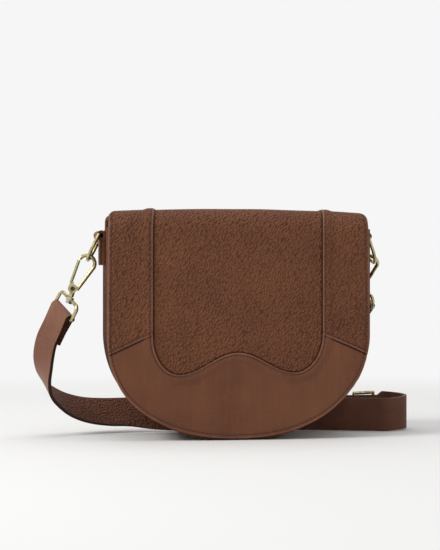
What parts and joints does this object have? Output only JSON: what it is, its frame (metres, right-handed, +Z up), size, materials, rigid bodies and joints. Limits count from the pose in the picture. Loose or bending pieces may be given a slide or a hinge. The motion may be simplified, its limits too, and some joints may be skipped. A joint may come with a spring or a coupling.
{
  "type": "crossbody handbag",
  "caption": "Round-bottomed leather crossbody bag with a full front flap of lapped panels, end rings and a long strap on swivel snap hooks.",
  "frame": {"origin": "middle of the flat foot that the body stands on", "axes": "+Z up, -Y is the front that the flap covers, +X to the right of a viewer in front"},
  "size_m": [0.3502, 0.1565, 0.2],
  "materials": {
    "pebbled_leather": "pebbled grain, low sheen",
    "smooth_leather": "fine grain, low sheen",
    "piping_leather": "fine grain, low sheen",
    "lining_cloth": "matt woven cloth",
    "flap_backing": "matt split leather",
    "strap_leather": "fine grain, low sheen",
    "antique_brass": "aged, satin",
    "blackened_rivet": "blackened",
    "steel": "satin"
  },
  "bodies": {
    "body": {"front_panel": "pebbled_leather", "back_panel": "pebbled_leather", "gusset": "pebbled_leather", "lining": "lining_cloth", "slip_pocket": "lining_cloth", "front_facing": "smooth_leather", "back_facing": "smooth_leather", "front_piping": "piping_leather", "back_piping": "piping_leather", "flap_seam_strip": "smooth_leather", "snap_socket": "antique_brass", "tab_left": "smooth_leather", "tab_right": "smooth_leather", "strap_loop_left": "antique_brass", "strap_loop_right": "antique_brass", "strap_long": "strap_leather", "strap_short": "strap_leather", "buckle_frame": "antique_brass", "keeper_fixed": "strap_leather"},
    "flap": {"flap_base": "flap_backing", "flap_centre_panel": "pebbled_leather", "flap_side_left": "pebbled_leather", "flap_side_right": "pebbled_leather", "flap_lower_panel": "smooth_leather", "snap_plug": "antique_brass"},
    "ring_left": {"ring_left": "antique_brass"},
    "ring_right": {"ring_right": "antique_brass"},
    "hook_left": {"hook_left": "antique_brass", "gate_rivet_left": "blackened_rivet", "swivel_post_left": "steel"},
    "hook_right": {"hook_right": "antique_brass", "gate_rivet_right": "blackened_rivet", "swivel_post_right": "steel"},
    "gate_left": {"gate_left": "antique_brass"},
    "gate_right": {"gate_right": "antique_brass"},
    "tongue": {"buckle_tongue": "antique_brass"},
    "keeper": {"keeper_sliding": "strap_leather"}
  },
  "joints": [
    {"name": "flap_hinge", "type": "hinge", "parent": "body", "child": "flap", "pos_m": [0, 0.04, 0.175], "axis": [-1, 0, 0], "range_deg": [0, 180]},
    {"name": "ring_left_swing", "type": "hinge", "parent": "body", "child": "ring_left", "pos_m": [-0.11948, 0, 0.1773], "axis": [0.1392, 0.9903, 0], "range_deg": [-2, 1.5]},
    {"name": "ring_right_swing", "type": "hinge", "parent": "body", "child": "ring_right", "pos_m": [0.11948, 0, 0.1773], "axis": [0, 1, 0], "range_deg": [-0.6, 0.6]},
    {"name": "hook_left_swivel", "type": "hinge", "parent": "body", "child": "hook_left", "pos_m": [-0.14513, 0.00315, 0.12255], "axis": [0.3322, -0.0467, 0.9421], "range_deg": [-12, 12]},
    {"name": "hook_right_swivel", "type": "hinge", "parent": "body", "child": "hook_right", "pos_m": [0.126, 0.0353, 0.13354], "axis": [-0.0739, -0.7071, 0.7032], "range_deg": [-1, 4]},
    {"name": "gate_left_swing", "type": "hinge", "parent": "hook_left", "child": "gate_left", "pos_m": [-0.14325, 0.00274, 0.13089], "axis": [0.008, 0.9989, 0.0467], "range_deg": [0, 18], "stiffness_Nm_per_rad": 0.02},
    {"name": "gate_right_swing", "type": "hinge", "parent": "hook_right", "child": "gate_right", "pos_m": [0.12451, 0.02968, 0.13983], "axis": [0.4949, 0.5862, 0.6415], "range_deg": [0, 18], "stiffness_Nm_per_rad": 0.02},
    {"name": "tongue_swing", "type": "hinge", "parent": "body", "child": "tongue", "pos_m": [0.1235, 0.0633, 0.0193], "axis": [0, 0, 1], "range_deg": [0, 6]},
    {"name": "keeper_slide", "type": "slide", "parent": "body", "child": "keeper", "axis": [1, 0, 0], "range_m": [-0.005, 0.005]}
  ]
}
